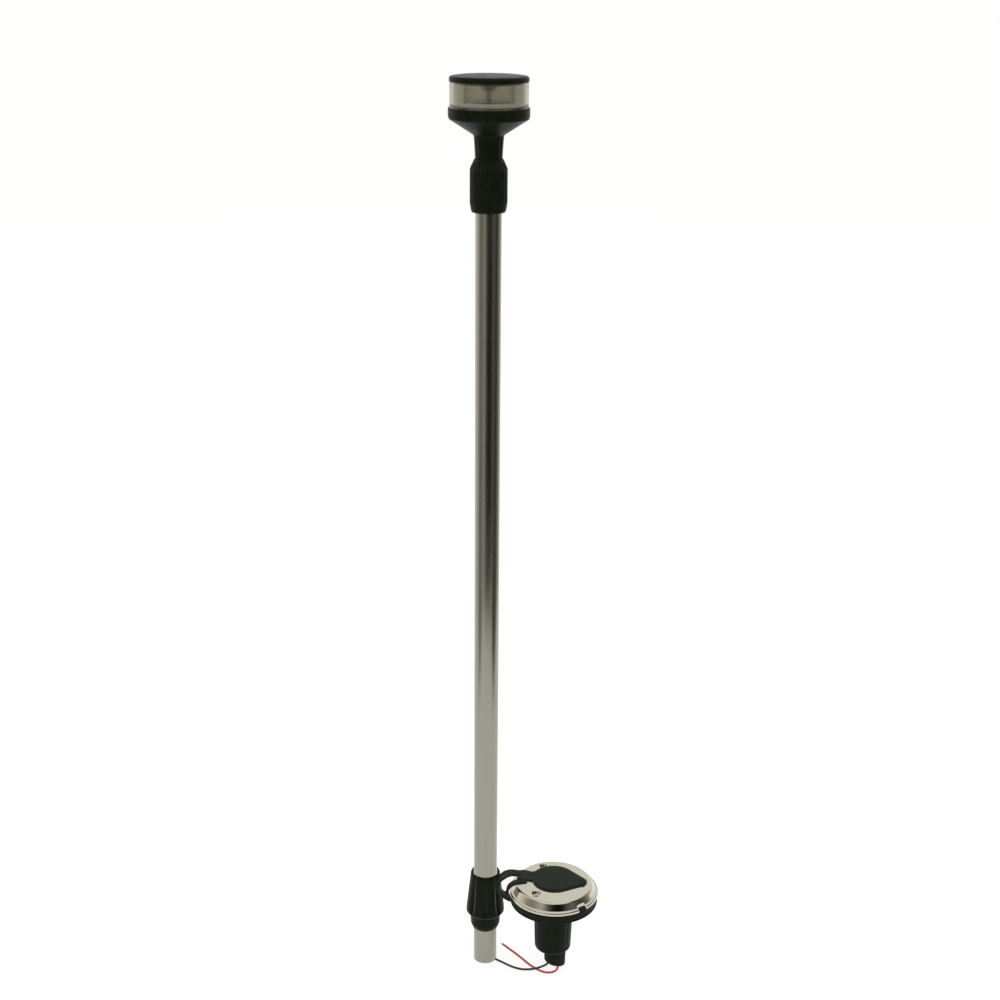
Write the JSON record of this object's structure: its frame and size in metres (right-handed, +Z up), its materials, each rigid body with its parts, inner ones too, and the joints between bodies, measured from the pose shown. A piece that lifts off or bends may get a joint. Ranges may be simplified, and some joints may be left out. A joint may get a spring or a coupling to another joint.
{
  "type": "navigation light",
  "caption": "Plug-in telescoping all-round white light on a pole, with its round deck socket base, dust cap and bare lead ends.",
  "frame": {"origin": "centre of the deck face under the base's gasket, on the socket's axis", "axes": "+Z up along the socket; the pole stands beside the base towards -X; -Y is the front"},
  "size_m": [0.1219, 0.0732, 0.72],
  "materials": {
    "polished_steel": "mirror-polished stainless sheet",
    "black_plastic": "moulded, faint satin",
    "black_gloss": "moulded, semi-gloss",
    "gasket_rubber": "soft, matt",
    "boot_rubber": "moulded, matt",
    "cap_rubber": "moulded, matt",
    "lead_rubber": "smooth insulation",
    "wire_black": "smooth PVC insulation",
    "wire_red": "smooth PVC insulation",
    "tinned_wire": "tinned strands",
    "anodised_tube": "bright anodised tube",
    "plain_steel": "plain",
    "brass": "plain",
    "natural_plastic": "natural acetal",
    "clear_lens": "clear polycarbonate",
    "board_white": "white solder mask",
    "led_yellow": "phosphor under clear resin",
    "pale_plastic": "pale moulding",
    "bright_reflector": "vacuum-metallised"
  },
  "bodies": {
    "base": {"steel_cover": "polished_steel", "base_flange": "black_plastic", "socket_barrel": "black_plastic", "deck_gasket": "gasket_rubber", "mouth_seal": "gasket_rubber", "contact_carrier": "black_plastic", "centre_contact": "brass", "ring_contact": "brass", "retaining_ring": "plain_steel", "terminals": "brass", "base_leads": "lead_rubber", "cable_boot": "boot_rubber", "wire_black": "wire_black", "wire_red": "wire_red", "wire_ends": "tinned_wire", "cap_strap": "cap_rubber"},
    "cap": {"socket_cap": "cap_rubber"},
    "pole": {"outer_tube": "anodised_tube", "plug_insert": "black_plastic", "plug_centre_sleeve": "brass", "plug_ring_sleeve": "brass", "plug_leads": "lead_rubber", "coil_lead": "lead_rubber", "tube_ferrule": "black_plastic"},
    "bush": {"collar_bush": "natural_plastic", "collar_oring": "gasket_rubber"},
    "collar": {"locking_collar": "black_plastic"},
    "gripper": {"collet": "natural_plastic"},
    "nut": {"lock_nut": "black_plastic"},
    "mast": {"inner_tube": "anodised_tube", "guide_bush": "natural_plastic", "head_housing": "black_gloss", "lens_gasket": "gasket_rubber", "lens": "clear_lens", "led_board": "board_white", "leds": "led_yellow", "board_screws": "plain_steel", "light_ring": "pale_plastic", "inner_optic": "clear_lens", "reflector_cone": "bright_reflector", "top_cap": "black_gloss", "centre_screw": "plain_steel", "head_leads": "lead_rubber"}
  },
  "joints": [
    {"name": "pole_lift", "type": "slide", "parent": "base", "child": "pole", "axis": [-0.6, 0, 0.8], "range_m": [0, 0.1]},
    {"name": "telescope", "type": "slide", "parent": "pole", "child": "mast", "axis": [0, 0, 1], "range_m": [0, 0.508], "deforming": ["coil_lead"]},
    {"name": "collet_slide", "type": "slide", "parent": "pole", "child": "gripper", "axis": [0, 0, 1], "range_m": [-0.0015, 0]},
    {"name": "lock_nut_turn", "type": "hinge", "parent": "gripper", "child": "nut", "pos_m": [-0.0565, 0.007, 0.5785], "axis": [0, 0, 1], "range_deg": [-270, 0]},
    {"name": "collar_slide", "type": "slide", "parent": "pole", "child": "bush", "axis": [0, 0, -1], "range_m": [0, 0.02]},
    {"name": "collar_turn", "type": "hinge", "parent": "bush", "child": "collar", "pos_m": [-0.0565, 0.007, -0.0015], "axis": [0, 0, 1], "range_deg": [-90, 0]},
    {"name": "cap_swing", "type": "hinge", "parent": "base", "child": "cap", "pos_m": [-0.01904, 0.0037, 0.019], "axis": [-0.1908, -0.9816, 0], "range_deg": [0, 110]}
  ],
  "couplings": [
    {"joint": "collet_slide", "follows": "lock_nut_turn", "m_per_rad": 0.0003183}
  ]
}
